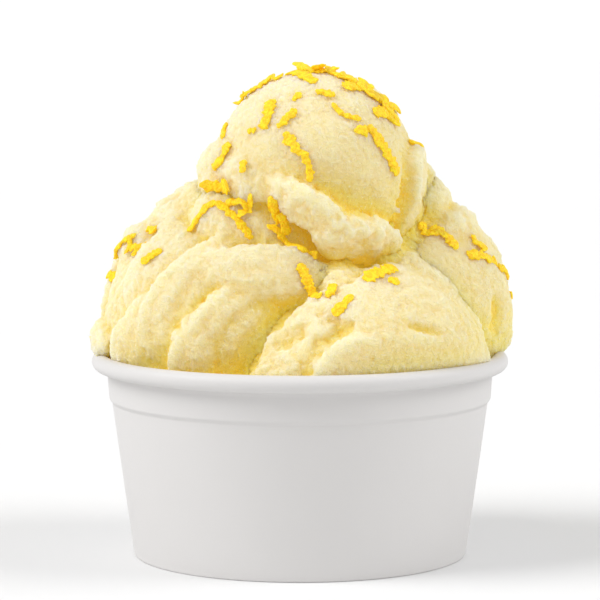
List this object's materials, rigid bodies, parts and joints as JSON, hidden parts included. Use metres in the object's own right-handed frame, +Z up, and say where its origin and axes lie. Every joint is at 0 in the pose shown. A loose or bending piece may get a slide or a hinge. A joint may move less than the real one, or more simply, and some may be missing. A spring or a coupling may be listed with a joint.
{
  "type": "sorbet cup",
  "caption": "Tub of heaped citrus sorbet: a round white paper cup with a rolled rim, filled and piled high with rough scoops and strewn with fine zest.",
  "frame": {"origin": "centre of the cup's foot, on the surface that it stands on", "axes": "+Z up along the cup's axis; -Y towards the side that shows the front scoop, +X to the right of it"},
  "size_m": [0.0935, 0.0932, 0.107],
  "materials": {
    "paper_wall": "smooth white coated paperboard, faint sheen",
    "paper_bottom": "plain white paperboard, matt",
    "sorbet": "pale yellow, granular and icy, translucent"
  },
  "bodies": {
    "root": {"cup_sidewall": "paper_wall", "cup_bottom": "paper_bottom", "scoop_top": "sorbet", "scoop_front": "sorbet", "scoop_left": "sorbet", "scoop_right": "sorbet", "scoop_back": "sorbet"}
  },
  "joints": []
}
